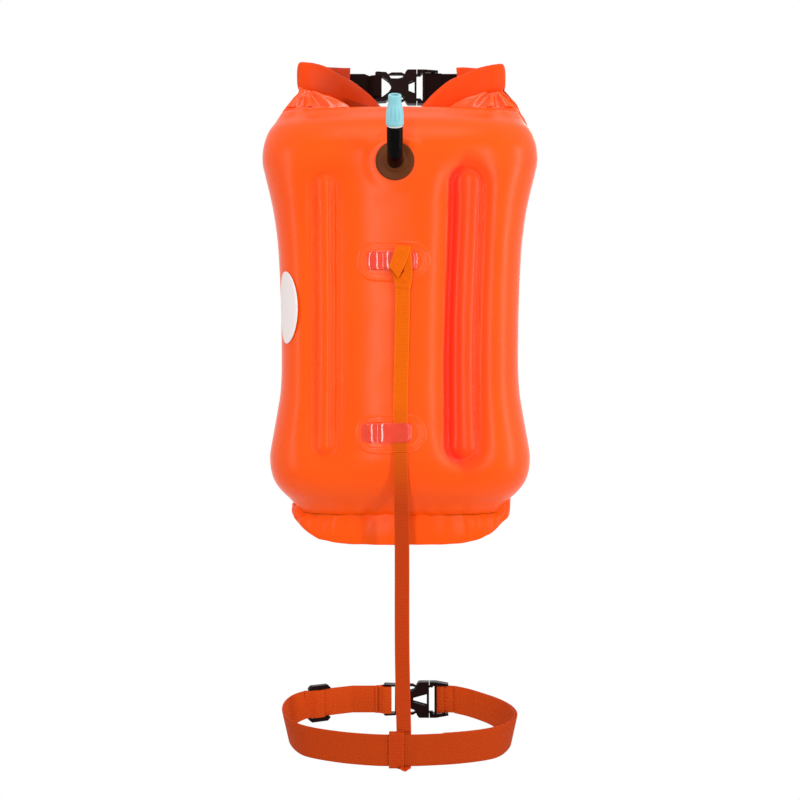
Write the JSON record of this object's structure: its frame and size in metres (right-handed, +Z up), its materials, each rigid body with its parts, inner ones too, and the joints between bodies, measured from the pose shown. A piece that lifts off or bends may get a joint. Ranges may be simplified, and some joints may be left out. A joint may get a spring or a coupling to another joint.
{
  "type": "open water swim buoy",
  "caption": "Inflated orange swim buoy and dry bag with a roll top handle, a mouth valve on an elbow tube, and a waist belt on a tether.",
  "frame": {"origin": "hang point: on the bag's middle plane, at the height of the middle of the handle buckle", "axes": "+Z up towards the handle, -Y out of the valve side (the front), +X to the right seen from the front"},
  "size_m": [0.282, 0.2343, 0.7027],
  "materials": {
    "film": "satin welded film",
    "roll": "satin film, rolled",
    "orange_webbing": "woven webbing",
    "black_webbing": "woven webbing",
    "black_plastic": "moulded, satin",
    "clear_film": "clear red film",
    "rubber": "smooth",
    "flange_rubber": "matt",
    "blue_plastic": "moulded, satin",
    "pale_plastic": "moulded, satin",
    "white_film": "satin film",
    "spring_steel": "drawn wire"
  },
  "bodies": {
    "bag": {"back_skin": "film", "front_skin": "film", "neck": "film", "roll_top": "roll", "roll_stiffener": "black_plastic", "dry_bag_liner": "film", "hem": "film", "bottom_panel": "film", "upper_keeper_patch": "film", "lower_keeper_patch": "film", "upper_keeper_strip": "clear_film", "lower_keeper_strip": "clear_film", "white_patch": "white_film", "tether_upper": "orange_webbing", "left_handle_webbing": "black_webbing", "right_handle_webbing": "black_webbing", "handle_buckle_female": "black_plastic", "valve_tube": "rubber", "valve_flange": "flange_rubber", "valve_insert": "pale_plastic", "valve_spring": "spring_steel"},
    "valve_stem": {"valve_stem": "pale_plastic", "valve_seal": "rubber"},
    "mouthpiece": {"mouthpiece": "blue_plastic"},
    "handle_male": {"handle_buckle_male": "black_plastic"},
    "handle_prong_up": {"handle_prong_upper": "black_plastic"},
    "handle_prong_down": {"handle_prong_lower": "black_plastic"},
    "tether": {"tether_lower": "orange_webbing"},
    "tether_end": {"tether_loop": "orange_webbing"},
    "belt": {"belt_webbing": "orange_webbing", "belt_tail": "orange_webbing", "belt_buckle_female": "black_plastic"},
    "belt_male": {"belt_buckle_male": "black_plastic"},
    "belt_prong_up": {"belt_prong_upper": "black_plastic"},
    "belt_prong_down": {"belt_prong_lower": "black_plastic"},
    "slider": {"belt_slider": "black_plastic"}
  },
  "joints": [
    {"name": "mouthpiece_press", "type": "slide", "parent": "bag", "child": "valve_stem", "axis": [0, 0.5, -0.866], "range_m": [0, 0.0022], "stiffness_N_per_m": 400, "deforming": ["valve_spring"]},
    {"name": "mouthpiece_twist", "type": "hinge", "parent": "valve_stem", "child": "mouthpiece", "pos_m": [-0.0048, -0.11708, -0.07643], "axis": [0, -0.5, 0.866], "range_deg": [0, 90]},
    {"name": "handle_release", "type": "slide", "parent": "bag", "child": "handle_male", "axis": [1, 0, 0], "range_m": [0, 0.01]},
    {"name": "handle_prong_up_bend", "type": "hinge", "parent": "handle_male", "child": "handle_prong_up", "pos_m": [0.02124, 0.0276, 0.01276], "axis": [0, -1, 0], "range_deg": [0, 13]},
    {"name": "handle_prong_down_bend", "type": "hinge", "parent": "handle_male", "child": "handle_prong_down", "pos_m": [0.02124, 0.0276, -0.01276], "axis": [0, 1, 0], "range_deg": [0, 13]},
    {"name": "tether_swing", "type": "hinge", "parent": "bag", "child": "tether", "pos_m": [0.0002, -0.08124, -0.37702], "axis": [-1, 0, 0], "range_deg": [0, 85]},
    {"name": "loop_swing", "type": "hinge", "parent": "tether", "child": "tether_end", "pos_m": [0.0036, -0.0915, -0.6405], "axis": [1, 0, 0], "range_deg": [-30, 30]},
    {"name": "belt_slide", "type": "slide", "parent": "tether_end", "child": "belt", "axis": [1, 0, 0], "range_m": [-0.006, 0.006]},
    {"name": "belt_release", "type": "slide", "parent": "belt", "child": "belt_male", "axis": [1, 0, 0], "range_m": [0, 0.01]},
    {"name": "belt_prong_up_bend", "type": "hinge", "parent": "belt_male", "child": "belt_prong_up", "pos_m": [0.03585, 0.09203, -0.64783], "axis": [0, -1, 0], "range_deg": [0, 13]},
    {"name": "belt_prong_down_bend", "type": "hinge", "parent": "belt_male", "child": "belt_prong_down", "pos_m": [0.03585, 0.09203, -0.67617], "axis": [0, 1, 0], "range_deg": [0, 13]},
    {"name": "slider_slide", "type": "slide", "parent": "belt", "child": "slider", "axis": [0.908, 0.4189, 0], "range_m": [0, 0.01]}
  ],
  "couplings": [
    {"joint": "handle_prong_up_bend", "follows": "handle_release", "rad_per_m": 19.5},
    {"joint": "handle_prong_down_bend", "follows": "handle_release", "rad_per_m": 19.5},
    {"joint": "belt_prong_up_bend", "follows": "belt_release", "rad_per_m": 19.5},
    {"joint": "belt_prong_down_bend", "follows": "belt_release", "rad_per_m": 19.5}
  ]
}
